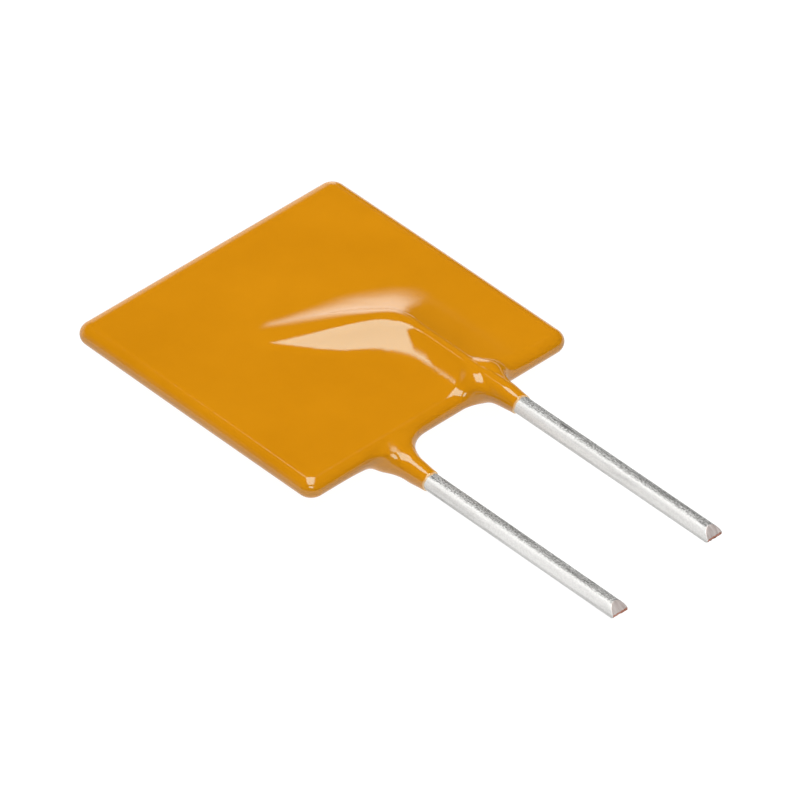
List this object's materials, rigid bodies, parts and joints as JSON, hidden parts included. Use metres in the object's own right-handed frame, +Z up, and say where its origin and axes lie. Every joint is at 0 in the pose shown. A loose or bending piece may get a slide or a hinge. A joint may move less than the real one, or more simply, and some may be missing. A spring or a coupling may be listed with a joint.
{
  "type": "resettable fuse",
  "caption": "Flat square radial-leaded resettable fuse: a conductive-polymer chip in a glossy dipped coat, with straight tinned leads.",
  "frame": {"origin": "centre of the whole part's box, on the surface that the part lies on", "axes": "+X along the leads towards their tips, +Y across the leads, +Z up through the flat faces"},
  "size_m": [0.028, 0.0148, 0.0023],
  "materials": {
    "coat": "glossy dipped epoxy",
    "polymer": "matte, carbon filled",
    "foil": "nickel-plated foil, dull",
    "tinned_wire": "matte drawn tin",
    "solder": "bright solder"
  },
  "bodies": {
    "root": {"coating": "coat", "ptc_core": "polymer", "top_foil": "foil", "bottom_foil": "foil", "top_lead": "tinned_wire", "bottom_lead": "tinned_wire", "top_solder": "solder", "bottom_solder": "solder"}
  },
  "joints": []
}
